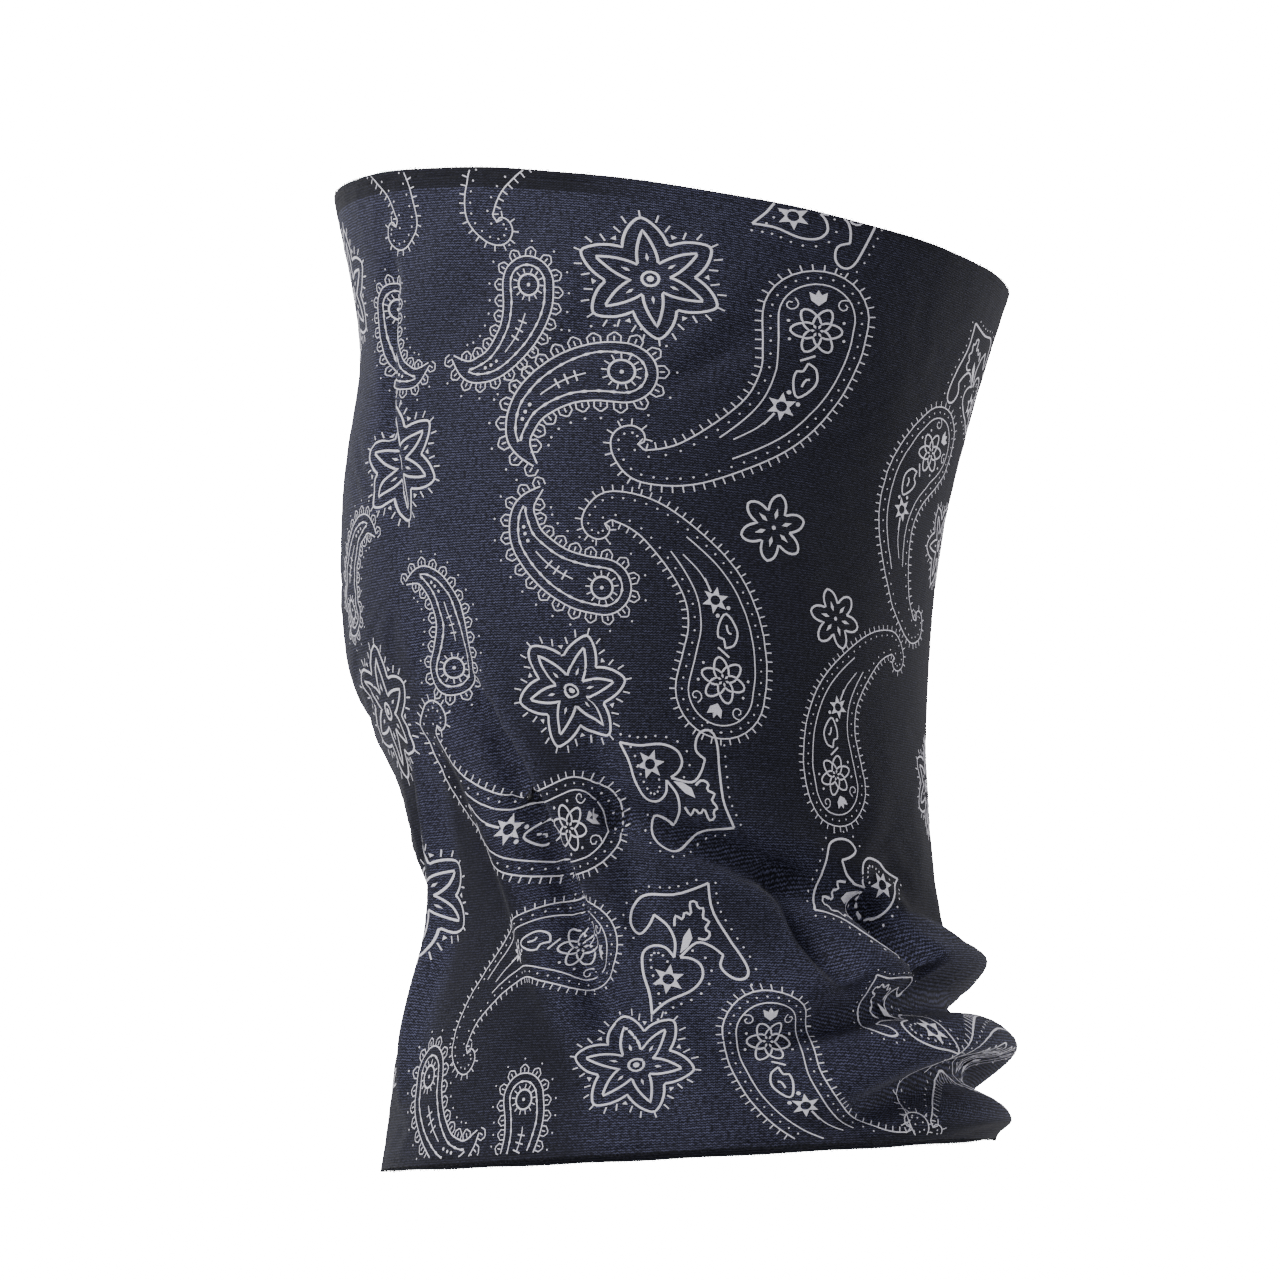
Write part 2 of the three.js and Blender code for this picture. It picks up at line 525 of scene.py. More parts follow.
def flowerOutline(valley, tip, belly, blunt, turn=10.0):
    pieces = []
    half = 180 / petals
    for petal in range(petals):
        middle = turn + petal * 360 / petals
        shoulder = half * 0.62
        rising = [polar(valley, middle - half), polar(belly, middle - shoulder), polar(tip, middle - blunt)]
        pieces.append(bend(rising))
        if blunt:
            top = [polar(tip, middle - blunt), polar(tip * 1.05, middle), polar(tip, middle + blunt)]
            pieces.append(bend(top, 4))
        falling = [polar(tip, middle + blunt), polar(belly, middle + shoulder), polar(valley, middle + half)]
        pieces.append(bend(falling))
    return np.concatenate(pieces)


def bigFlower():
    marks = [("line", ringLine((0, 0), 2.3, 18), ink["line"]), dotFill((0, 0), 1.0)]
    marks.append(("line", flowerOutline(5.2, 15.2, 9.6, 0), ink["line"]))
    marks.append(("line", flowerOutline(11.6, 18.6, 16.0, 3.6), ink["line"]))
    for petal in range(petals):
        middle = 10 + petal * 360 / petals
        marks.append(petalFill(polar(5.6, middle), polar(8.2, middle), 0.9))
        for spread, reach in ((-21, 15.6), (-12, 17.8), (0, 19.0), (12, 17.8), (21, 15.6)):
            start, end = polar(reach, middle + spread), polar(reach + 2.3, middle + spread * 1.1)
            marks.append(("line", np.array([start, end]), ink["fine"]))
        point = np.array(polar(14.0, middle + 30))
        barbs = [point + np.array(polar(1.5, middle + 30 + s)) for s in (-35, 35)]
        marks.append(("fill", np.array([point, *barbs])))
    return marks


def smallFlower():
    marks = [("line", flowerOutline(5.4, 10.6, 9.8, 3.0), ink["line"]), dotFill((0, 0), 0.7)]
    for petal in range(petals):
        middle = 10 + petal * 360 / petals
        marks.append(petalFill(polar(2.8, middle), polar(6.4, middle), 1.3))
    return marks


spineSteps = 44


def spineShape(spine, widths, inset=0.0, to=1.0):
    path = smoothRoute(spine, spineSteps)
    tangents = np.gradient(path, axis=0)
    tangents /= np.hypot(*tangents.T)[:, None]
    normals = np.stack([-tangents[:, 1], tangents[:, 0]], -1)
    half = np.interp(np.linspace(0, 1, spineSteps), np.linspace(0, 1, len(widths)), widths)
    half = np.convolve(np.pad(half, 3, "edge"), np.ones(7) / 7, "valid") - inset
    keep = slice(int(to * spineSteps))
    path, normals, half = path[keep], normals[keep], np.maximum(half[keep], 0)
    heading = math.atan2(tangents[0, 1], tangents[0, 0])
    angles = heading + np.linspace(-math.pi / 2, -3 * math.pi / 2, 17)[1:-1]
    cap = path[0] + half[0] * np.stack([np.cos(angles), np.sin(angles)], -1)
    left, right = path + normals * half[:, None], path - normals * half[:, None]
    return np.concatenate([right[::-1], cap, left]), path


def lobedPaisley():
    spine = [(0, 0), (-9, 1.2), (-20, -0.6), (-31, -6.5), (-36, -14), (-36.5, -20), (-33, -27)]
    widths = (10.5, 10.2, 8.4, 6.6, 5.0, 3.4, 0.4)
    outer, path = spineShape(spine, widths)
    inner, _ = spineShape(spine, widths, inset=3.4, to=0.8)
    marks = [("line", outer, ink["fine"] * 1.2), ("bumpy", inner, ink["line"] * 1.1)]
    marks.append(("line", ringLine((-0.5, 0.5), 4.1, 22), ink["line"]))
    marks.append(dotFill((-0.5, 0.5), 0.7))
    marks += ticksAlong(ringLine((-0.5, 0.5), 4.1, 22), 2.0, 0.5, 2.3, ink["fine"])
    stem = path[9:20]
    marks.append(("line", stem, ink["fine"]))
    for spot, tangent in zip(*[v[1:4] for v in evenly(stem, 3.6)]):
        across = np.array([-tangent[1], tangent[0]]) * 1.9
        marks.append(("line", np.array([spot - across, spot + across]), ink["fine"] * 1.2))
    marks += [dotFill(path[k], 0.65) for k in (22, 24, 26)]
    spots, tangents = evenly(outer, 6.0)
    for spot, tangent in zip(spots[:-1], tangents[:-1]):
        away = np.array([-tangent[1], tangent[0]])
        loop = [spot - tangent * 2.0, spot - tangent * 2.1 + away * 2.2, spot + away * 3.9]
        loop += [spot + tangent * 2.1 + away * 2.2, spot + tangent * 2.0]
        marks.append(("line", np.array(loop), ink["fine"]))
        marks.append(("line", np.array([spot + away * 0.6, spot + away * 2.2]), ink["fine"]))
    marks += dotsAlong(outer, 6.0, 6.0, side=-1)[1:]
    return marks


def starRing(centre, radius):
    centre = np.asarray(centre, float)
    marks = [("line", ringLine(centre, radius * 0.55, 14), ink["line"])]
    for angle in range(20, 380, 60):
        tip = centre + polar(radius * 1.25, angle)
        base = [centre + polar(radius * 0.62, angle + s) for s in (-26, 26)]
        marks.append(("fill", np.array([tip, *base])))
    return marks


def tickedPaisley():
    spine = [(0, 0), (-1.6, -11), (-6, -24), (-15, -36), (-29, -45), (-46, -51.5), (-60, -51), (-64.6, -46)]
    widths = (17.6, 17.0, 14.4, 12.0, 9.6, 7.2, 5.4, 4.6)
    outer, path = spineShape(spine, widths)
    # the tail ends in a round lobe turned back over the hollow side
    onward = (path[-1] - path[-3]) / np.hypot(*(path[-1] - path[-3]))
    hollow = np.array([onward[1], -onward[0]])
    lobe = [(3.6, -3.6), (7.0, -0.8), (8.0, 3.2), (6.2, 7.2), (2.6, 8.6), (-0.2, 7.0), (0.3, 4.4)]
    lobe = smoothRoute([outer[-1]] + [path[-1] + onward * x + hollow * y for x, y in lobe], 26)
    outer = np.concatenate([outer, lobe[1:]])
    inner, _ = spineShape(spine, widths, inset=4.9, to=0.62)
    marks = [("line", outer, ink["fine"] * 1.15), ("line", inner, ink["fine"] * 1.1)]
    marks += ticksAlong(outer, 3.4, 0.2, 2.4, ink["fine"], side=-1)
    marks += dotsAlong(outer, 4.6, 2.4, radius=0.38)
    # bud with two curls at the wide end
    for side in (-1, 1):
        middleSpot = np.array((side * 8.6, 5.0))
        curl = [middleSpot + np.array(polar(2.6 - 0.26 * k, 60 + side * 52 * k)) for k in range(8)]
        marks.append(("line", smoothRoute(curl, 24), ink["fine"]))
    tulip = [(0, 4.6), (2.4, 6.6), (2.9, 9.6), (1.0, 8.6), (0, 10.4), (-1.0, 8.6), (-2.9, 9.6), (-2.4, 6.6)]
    marks.append(("fill", np.array(tulip)))
    # double flower, bars, half heart, star and stem down the middle
    flowerAt = np.array((-0.5, -4.5))
    for outline in (flowerOutline(5.2, 8.6, 7.6, 5.0, turn=0), flowerOutline(2.6, 5.6, 4.2, 0, turn=30)):
        marks.append(("line", outline + flowerAt, ink["line"]))
    marks += [petalFill(flowerAt + polar(0.8, a), flowerAt + polar(2.8, a), 1.0) for a in range(0, 360, 60)]
    marks += [dotFill(flowerAt + polar(9.8, a), 0.55) for a in (20, 160, 200, 340)]
    for centre, slope in (((-3.6, -14.6), 20), ((-17.5, -36.6), 45)):
        bar = np.array([np.array(centre) + polar(2.8, slope), np.array(centre) - polar(2.8, slope)])
        marks.append(("line", bar, ink["line"]))
    heart = [
        (-3.4, -16.4), (-0.6, -19.0), (-1.2, -24.5), (-7.4, -29.0),
        (-8.6, -23.5), (-7.4, -19.4), (-5.2, -19.4), (-3.4, -16.4),
    ]
    marks.append(("line", smoothRoute(heart, 40), ink["line"]))
    marks.append(("line", smoothRoute([(-5.8, -25), (-4.4, -22.6), (-3.0, -22.4)], 6), ink["line"]))
    marks += starRing((-13.0, -32.2), 4.2)
    marks.append(("line", smoothRoute([(-16, -35.2), (-22, -40), (-30, -43.8)], 12), ink["fine"]))
    marks += [dotFill(p, 0.8) for p in ((-10.2, -27.0), (-7.4, -31.4))]
    return marks


def heartScroll():
    heart = [(-0.9, 0.0), (-3.4, 3.4), (-7.4, 4.2), (-10.4, 1.4), (-10.4, -5.0), (-8.6, -12.0), (-8.0, -18.4)]
    lobe = [(-8.0, -18.4), (-3.0, -14.2), (3.6, -11.0), (7.2, -6.8), (7.0, -2.6), (4.0, -0.3), (0.9, 0.0)]
    left = [(-0.9, 0.2), (-0.5, 5.6), (-2.6, 10.6), (-6.8, 14.2)]
    hookLeft = [
        (-6.8, 14.2), (-8.6, 10.6), (-11.4, 8.0), (-13.9, 11.4),
        (-13.2, 16.8), (-9.6, 20.4), (0.6, 20.8), (11.2, 24.6),
    ]
    hookRight = [
        (11.2, 24.6), (12.0, 15.8), (16.4, 6.8), (21.0, -2.8),
        (20.4, -7.0), (16.6, -7.4), (13.0, -3.6), (14.2, 0.6),
    ]
    right = [(14.2, 0.6), (10.6, 3.8), (6.2, 4.9), (0.9, 0.2)]
    outlines = (heart, lobe, left, hookLeft, hookRight, right)
    marks = [("line", smoothRoute(part, 26), ink["line"]) for part in outlines]
    leaf = [
        (-0.4, 10.4), (0.0, 13.8), (2.2, 12.6), (3.0, 15.0),
        (5.0, 14.2), (4.8, 18.2), (6.8, 18.4), (7.4, 16.4),
    ]
    leaf += [(9.2, 16.2), (8.8, 13.2), (10.8, 12.0), (9.2, 9.6), (10.8, 8.2), (9.4, 6.0), (6.8, 6.4)]
    marks.append(("line", smoothRoute(leaf, 60), ink["line"]))
    marks.append(("fill", np.array([(0.9, 1.4), (2.2, 6.8), (4.3, 9.8), (5.0, 6.4), (3.4, 3.4)])))
    marks += starRing((-3.0, -7.2), 4.0)
    marks += dotsAlong(smoothRoute(heart, 40), 3.0, 2.6, side=-1)
    marks += dotsAlong(smoothRoute(lobe, 40), 3.0, 2.6, side=1)
    marks += dotsAlong(smoothRoute(hookLeft[2:], 40), 3.4, 2.4, side=-1, radius=0.34)
    marks += dotsAlong(smoothRoute(hookRight[:-2], 40), 3.4, 2.4, side=-1, radius=0.34)
    return marks


# where the motifs stand on the flat tube, laid out: (round, along) in cells, turn in degrees, size,
# and whether flipped
printCell = 10.0  # mm
large, middle, small = 0.9, 0.8, 0.7
printPlan = {
    "flowers": [
        (bigFlower, (39, 30), 30, 1.0, False),
        (bigFlower, (32, 23.5), 30, large, False),
        (bigFlower, (37, 15.5), 20, large, True),
        (bigFlower, (30, 15.5), 10, 1.0, False),
        (bigFlower, (30, 9), 20, 1.0, False),
        (bigFlower, (38.5, 3), 0, middle, True),
        (bigFlower, (28, 30), 10, 1.0, False),
        (smallFlower, (42.5, 21.5), 10, 1.0, False),
        (smallFlower, (44.5, 18.5), 40, large, False),
        (smallFlower, (28, 4), 20, 1.0, False),
        (bigFlower, (50, 22.5), 0, middle, False),
        (bigFlower, (50, 13), 20, middle, False),
        (bigFlower, (25, 19.5), 10, middle, False),
        (smallFlower, (25, 26), 30, 1.0, False),
        (smallFlower, (25, 11), 10, 1.0, False),
    ],
    "lobedPaisleys": [
        (lobedPaisley, (38.5, 26.5), 10, large, False),
        (lobedPaisley, (38, 19), -20, middle, True),
        (lobedPaisley, (36, 29.5), 80, middle, True),
        (lobedPaisley, (31, 29), 100, small, False),
        (lobedPaisley, (33.5, 16.5), -100, small, False),
        (lobedPaisley, (29, 19), -100, small, True),
        (lobedPaisley, (31.5, 3), 110, middle, False),
        (lobedPaisley, (35.5, 2), 90, small, True),
    ],
    "tickedPaisleys": [
        (tickedPaisley, (43, 29.5), 10, large, False),
        (tickedPaisley, (41, 15.5), -20, middle, True),
        (tickedPaisley, (37, 11), -70, middle, False),
        (tickedPaisley, (37, 7), 70, small, True),
        (tickedPaisley, (41.5, 4), 180, small, True),
        (tickedPaisley, (44.5, 12.5), -160, small, False),
        (tickedPaisley, (48, 26), 130, middle, True),
        (tickedPaisley, (50, 3), 60, small, True),
        (tickedPaisley, (39.5, 35.5), 70, middle, True),
        (tickedPaisley, (27.5, 35.5), 110, middle, False),
    ],
    "hearts": [
        (heartScroll, (39.5, 6.5), 0, large, False),
        (heartScroll, (39.5, 12.5), 30, large, True),
        (heartScroll, (42.5, 33.5), -40, large, False),
        (heartScroll, (45.5, 9), -100, large, True),
        (heartScroll, (49.5, 29), 190, large, True),
        (heartScroll, (45.5, 4.5), 70, small, False),
    ],
}
farSide = (28, 48)  # cells of the print that the far side repeats the other way round


def placeMark(points, plan, mirror):
    _, at, turn, size, flipped = plan
    x, y = points[:, 0] * size, points[:, 1] * size * (-1 if flipped else 1)
    c, s = math.cos(math.radians(turn)), math.sin(math.radians(turn))
    around = at[0] * printCell + (x * c - y * s) / ink["widerWorn"]
    along = at[1] * printCell + (x * s + y * c) / ink["shorterWorn"]
    if mirror:
        around = tube["girth"] - around
    return np.stack([around, along], -1)


def inkMesh(name, plans):
    verts, uvs, faces = [], [], []

    def addVerts(flat, lift):
        start = sum(len(v) for v in verts)
        verts.append(clothSpot(flat[:, 0], flat[:, 1], lift))
        uvs.append(flat)
        return start

    copies = [(plan, False) for plan in plans]
    copies += [(plan, True) for plan in plans if farSide[0] <= plan[1][0] <= farSide[1]]
    for plan, mirror in copies:
        for mark in plan[0]():
            if mark[0] == "fill":
                rim = placeMark(mark[1], plan, mirror)
                if rim[:, 1].min() < 2 or rim[:, 1].max() > tube["length"] - 0.2:
                    continue
                flat = np.concatenate([rim.mean(0, keepdims=True), rim])
                start = addVerts(flat, ink["lift"])
                count = len(rim)
                fan = [(start, start + 1 + k, start + 1 + (k + 1) % count) for k in range(count)]
                flip = np.cross(rim[1] - rim[0], rim[2] - rim[1]) < 0
                faces.extend([f[::-1] for f in fan] if flip else fan)
                continue
            spots, tangents = evenly(mark[1], ink["step"])
            width = np.full(len(spots), mark[2])
            if mark[0] == "bumpy":
                width = mark[2] * (0.62 + 0.6 * (np.arange(len(spots)) % 4 == 0))
            across = np.stack([-tangents[:, 1], tangents[:, 0]], -1) * width[:, None] / 2
            lines = [placeMark(spots + across * side, plan, mirror) for side in (-1, 0, 1)]
            inside = (lines[1][:, 1] > 2) & (lines[1][:, 1] < tube["length"] - 0.2)
            lifts = (ink["edgeLift"], ink["lift"], ink["edgeLift"])
            starts = [addVerts(line, lift) for line, lift in zip(lines, lifts)]
            mirrored = mirror != plan[4]
            for k in range(len(spots) - 1):
                if not (inside[k] and inside[k + 1]):
                    continue
                for low, high in ((0, 1), (1, 2)):
                    quad = (starts[low] + k, starts[low] + k + 1, starts[high] + k + 1, starts[high] + k)
                    faces.append(quad[::-1] if mirrored else quad)
    piece = newPiece(name, np.concatenate(verts) * mm, [], faces)
    addUv(piece.data, np.concatenate(uvs) * mm)
    # points left over where lines run off the tube
    shape = bmesh.new()
    shape.from_mesh(piece.data)
    bmesh.ops.delete(shape, geom=[v for v in shape.verts if not v.link_faces], context="VERTS")
    shape.to_mesh(piece.data)
    shape.free()
    piece.data.shade_smooth()
    return piece


printPieces = [inkMesh("print_" + name, plans) for name, plans in printPlan.items()]
print("print built:", [len(piece.data.polygons) for piece in printPieces], "faces")


# the tube carries how far its knit is stretched, and which of its faces is the inner one
def stretchField():
    around = (np.roll(cloth, -1, 1) - np.roll(cloth, 1, 1)) / (2 * tube["girth"] / tube["around"])
    along = np.gradient(cloth, tube["length"] / (tube["along"] - 1), axis=0)
    field = np.linalg.norm(np.cross(around, along), axis=2)
    for _ in range(6):
        field = (field + np.roll(field, 1, 1) + np.roll(field, -1, 1)) / 3
        field[1:-1] = (field[1:-1] + field[2:] + field[:-2]) / 3
    return field


def addMeasure(mesh, name, values):
    layer = mesh.attributes.new(name, "FLOAT", "POINT")
    layer.data.foreach_set("value", np.asarray(values, np.float32).ravel())


rimEdge = {
    "rows": 7,  # of each face, with one more along the crown
    "overlap": 0.02,  # mm the cut rim stands out over the knit
    "crown": 0.25,  # mm it rises past the last row
    "loopEvery": 1.9,  # mm between yarn ends
    "loopSize": 0.42,
    "yarnShare": 0.27,  # radius of the yarn as a share of its loop
    "seed": 4,
}


def rimBand(name, upper):
    # the last few millimetres of the tube, a little thicker than the knit and rounded over
    steps = np.linspace(0, 1, rimEdge["rows"])
    depth = tube["edgeDepth"] + 0.4
    end = tube["length"] if upper else 0.0
    sign = -1 if upper else 1
    along = end + sign * depth * (1 - steps)
    around = np.arange(tube["around"]) / tube["around"] * tube["girth"]
    s, t = np.meshgrid(around, along)
    ease = np.sqrt(np.clip(steps * 5, 0, 1))[:, None] + 0 * s
    rough = 0.05 * np.sin(s * 2.9) + 0.04 * np.sin(s * 1.7 + 2)
    outer = clothSpot(s, t, rimEdge["overlap"] * ease + rough * ease)
    inner = clothSpot(s, t, -tube["thickness"] - rimEdge["overlap"] * ease)
    tip = clothSpot(around, end, -tube["thickness"] / 2)
    before = clothSpot(around, end + sign * 1.5, -tube["thickness"] / 2)
    out = tip - before
    out /= np.linalg.norm(out, axis=1, keepdims=True)
    crown = tip + out * (rimEdge["crown"] + 0.12 * np.sin(around * 3.3)[:, None])
    grid = np.concatenate([outer, crown[None], inner[::-1]])
    flat = np.concatenate([t, np.full((1, len(around)), end), t[::-1]])
    if not upper:
        grid, flat = grid[::-1], flat[::-1]
    piece = gridObject(name, grid * mm, closeRows=True)
    addUv(piece.data, np.stack([np.tile(around, (len(flat), 1)), flat], -1).reshape(-1, 2) * mm)
    fixSeam(piece.data, tube["girth"] * mm)
    return piece, crown, out


def nodeTree(name, kind, inputs=(), outputs=()):
    tree = bpy.data.node_groups.new(name, kind)
    for side, sockets in (("INPUT", inputs), ("OUTPUT", outputs)):
        for label, socketType, value in sockets:
            socket = tree.interface.new_socket(name=label, in_out=side, socket_type=socketType)
            if value is not None:
                socket.default_value = value
    start, end = tree.nodes.new("NodeGroupInput"), tree.nodes.new("NodeGroupOutput")
    return tree, start.outputs, end.inputs


def add(tree, kind, links=None, **settings):
    node = tree.nodes.new(kind)
    for key, value in settings.items():
        setattr(node, key, value)
    for key, value in (links or {}).items():
        socket = node.inputs[key]
        if isinstance(value, bpy.types.NodeSocket):
            tree.links.new(value, socket)
        else:
            socket.default_value = value
    return node


def maths(tree, operation, a, b=None, c=None, clamp=False):
    links = {index: value for index, value in enumerate((a, b, c)) if value is not None}
    return add(tree, "ShaderNodeMath", links, operation=operation, use_clamp=clamp).outputs[0]


def standAlong(tree, line, spacing, instance, least, most, seed, shape=None):
    # instances at even steps along a line, stood up by its "up" vectors and each turned a little by chance
    curve = add(tree, "GeometryNodeMeshToCurve", {"Mesh": line})
    even = add(tree, "GeometryNodeResampleCurve",
               {"Curve": curve.outputs[0], "Length": spacing}, mode="LENGTH")
    links = {"Points": even.outputs[0], "Instance": instance}
    if shape:
        links["Scale"] = shape
    points = add(tree, "GeometryNodeInstanceOnPoints", links)
    up = add(tree, "GeometryNodeInputNamedAttribute", {"Name": "up"}, data_type="FLOAT_VECTOR")
    stand = add(tree, "FunctionNodeAlignRotationToVector", {"Vector": up.outputs[0]}, axis="Z")
    tangent = add(tree, "GeometryNodeInputTangent")
    turn = add(tree, "FunctionNodeAlignRotationToVector",
               {"Rotation": stand.outputs[0], "Vector": tangent.outputs[0]}, axis="X", pivot_axis="Z")
    tree.links.new(turn.outputs[0], points.inputs["Rotation"])
    wobble = add(tree, "FunctionNodeRandomValue", {"Min": least, "Max": most, "Seed": seed},
                 data_type="FLOAT_VECTOR")
    return add(tree, "GeometryNodeRotateInstances",
               {"Instances": points.outputs[0], "Rotation": wobble.outputs[0]}).outputs[0]


def finishTree(tree, instances, material, output):
    real = add(tree, "GeometryNodeRealizeInstances", {"Geometry": instances})
    smooth = add(tree, "GeometryNodeSetShadeSmooth", {"Geometry": real.outputs[0]})
    done = add(tree, "GeometryNodeSetMaterial", {"Geometry": smooth.outputs[0], "Material": material})
    tree.links.new(done.outputs[0], output)
    return tree


def yarnEndTree():
    # short curled yarn ends stand along the rim line, each a little different
    tree, inputs, outputs = nodeTree("yarn ends", "GeometryNodeTree", (
        ("Rim", "NodeSocketGeometry", None),
        ("Spacing", "NodeSocketFloat", 0.002),
        ("Loop Size", "NodeSocketFloat", 0.0006),
        ("Seed", "NodeSocketInt", 1),
        ("Material", "NodeSocketMaterial", None),
    ), (("Geometry", "NodeSocketGeometry", None),))
    loop = add(tree, "GeometryNodeCurvePrimitiveCircle", {"Resolution": 10, "Radius": 1.0}, mode="RADIUS")
    flat = add(tree, "GeometryNodeTransform",
               {"Geometry": loop.outputs[0], "Rotation": (math.pi / 2, 0, 0), "Scale": (1, 1, 0.8)})
    profile = add(tree, "GeometryNodeCurvePrimitiveCircle",
                  {"Resolution": 6, "Radius": rimEdge["yarnShare"]}, mode="RADIUS")
    yarn = add(tree, "GeometryNodeCurveToMesh",
               {"Curve": flat.outputs[0], "Profile Curve": profile.outputs[0]})
    turned = standAlong(tree, inputs["Rim"], inputs["Spacing"], yarn.outputs[0],
                        (-0.5, -0.4, -0.6), (0.5, 0.4, 0.6), inputs["Seed"])
    size = add(tree, "FunctionNodeRandomValue", {2: 0.65, 3: 1.3, "Seed": inputs["Seed"]}, data_type="FLOAT")
    scaled = maths(tree, "MULTIPLY", size.outputs[1], inputs["Loop Size"])
    grown = add(tree, "GeometryNodeScaleInstances", {"Instances": turned, "Scale": scaled})
    return finishTree(tree, grown.outputs[0], inputs["Material"], outputs["Geometry"])


def runTree(piece, tree, values):
    modifier = piece.modifiers.new(tree.name, "NODES")
    modifier.node_group = tree
    sockets = {item.name: item.identifier for item in tree.interface.items_tree if item.in_out == "INPUT"}
    for label, value in values.items():
        modifier[sockets[label]] = value
    shaped = piece.evaluated_get(bpy.context.evaluated_depsgraph_get())
    mesh = bpy.data.meshes.new_from_object(shaped)
    piece.modifiers.clear()
    old = piece.data
    piece.data = mesh
    mesh.name = old.name
    bpy.data.meshes.remove(old)
    return piece


def lineObject(name, points, closed, **vectors):
    count = len(points)
    edges = [(k, (k + 1) % count) for k in range(count if closed else count - 1)]
    piece = newPiece(name, points * mm, edges, [])
    for label, values in vectors.items():
        layer = piece.data.attributes.new(label, "FLOAT_VECTOR", "POINT")
        layer.data.foreach_set("vector", np.asarray(values, np.float32).ravel())
    return piece


# the fibre label inside the back of the collar, and the row of stitches that holds it
label = {
    "columns": 25,
    "rows": 35,
    "width": 24.0,
    "height": 34.0,
    "thickness": 0.3,
    "top": 45.0,  # mm up the flat tube
    "away": 0.35,  # mm clear of the knit at the stitched end
    "hang": 2.2,  # mm further at the free end
    "stitchWidth": 17.0,
    "stitchEvery": 2.7,
    "stitchLength": 2.1,
    "stitchDrop": 2.5,
    "stitchLift": 0.12,
    "stitchPoints": 30,
    "thread": 0.24,
    "seed": 2,
}


def labelSheet():
    columns, rows = label["columns"], label["rows"]
    acrossSteps, downSteps = np.linspace(-0.5, 0.5, columns), np.linspace(0, 1, rows)
    x, down = np.meshgrid(acrossSteps * label["width"] / ink["widerWorn"], downSteps)
    along = label["top"] - down * label["height"] / ink["shorterWorn"]
    curl = label["hang"] * down**2 + 0.35 * np.sin(down * 9) * down
    curl = curl + 0.9 * (np.abs(x) / label["width"] * 2) ** 3 * down
    away = label["away"] + curl
    front = clothSpot(tube["girth"] / 2 + x, along, -tube["thickness"] - away - label["thickness"])
    back = clothSpot(tube["girth"] / 2 + x, along, -tube["thickness"] - away)
    verts = np.concatenate([front.reshape(-1, 3), back.reshape(-1, 3)])
    count = columns * rows
    faces = []
    for row in range(rows - 1):
        for column in range(columns - 1):
            a = row * columns + column
            faces.append((a, a + 1, a + columns + 1, a + columns))
            faces.append((count + a + columns, count + a + columns + 1, count + a + 1, count + a))
    rim = list(range(columns)) + [r * columns + columns - 1 for r in range(1, rows)]
    rim += [(rows - 1) * columns + c for c in range(columns - 2, -1, -1)]
    rim += [r * columns for r in range(rows - 2, 0, -1)]
    for k, a in enumerate(rim):
        b = rim[(k + 1) % len(rim)]
        faces.append((b, a, a + count, b + count))
    piece = newPiece("care_label", verts * mm, [], faces)
    flat = np.stack([x, down * label["height"]], -1).reshape(-1, 2)
    addUv(piece.data, np.concatenate([flat, flat]) * mm)
    piece.data.shade_smooth()
    return piece


def stitchTree():
    # round-ended stitches lie along a line, slightly uneven
    tree, inputs, outputs = nodeTree("stitch row", "GeometryNodeTree", (
        ("Line", "NodeSocketGeometry", None),
        ("Spacing", "NodeSocketFloat", 0.0027),
        ("Stitch Length", "NodeSocketFloat", 0.0021),
        ("Thread", "NodeSocketFloat", 0.00024),
        ("Seed", "NodeSocketInt", 1),
        ("Material", "NodeSocketMaterial", None),
    ), (("Geometry", "NodeSocketGeometry", None),))
    body = add(tree, "GeometryNodeMeshUVSphere", {"Segments": 14, "Rings": 10, "Radius": 1.0})
    half = maths(tree, "MULTIPLY", inputs["Stitch Length"], 0.5)
    shape = add(tree, "ShaderNodeCombineXYZ", {"X": half, "Y": inputs["Thread"], "Z": inputs["Thread"]})
    turned = standAlong(tree, inputs["Line"], inputs["Spacing"], body.outputs[0],
                        (0, -0.06, -0.12), (0, 0.06, 0.12), inputs["Seed"], shape.outputs[0])
    return finishTree(tree, turned, inputs["Material"], outputs["Geometry"])


# colours and sizes of the finishes; sizes in mm on the flat tube
finish = {
    "wale": 0.80,
    "course": 0.90,
    "loopDepth": 0.12,
    "clothDark": (0.0022, 0.0024, 0.0062, 1),
    "clothLight": (0.108, 0.113, 0.215, 1),
    "clothInside": (0.045, 0.047, 0.085, 1),
    "clothSmooth": 0.74,  # roughness where the streaks are least
    "clothRough": 0.92,
    "sheenRoughness": 0.28,
    "sheen": 0.07,
    # painted shade band along the upper rim: its depth, how far round from the back it reaches, and its fade,
    # in mm
    "shadeBandDepth": 7.0,
    "shadeBandReach": 146.0,
    "shadeBandFade": 25.0,
    "ink": (0.97, 0.96, 1.0, 1),
    "inkWorn": (0.56, 0.54, 0.80, 1),
    "edge": (0.030, 0.031, 0.052, 1),
    "satin": (0.78, 0.77, 0.74, 1),
    "satinShade": (0.60, 0.60, 0.58, 1),
    "thread": (0.55, 0.55, 0.56, 1),
}


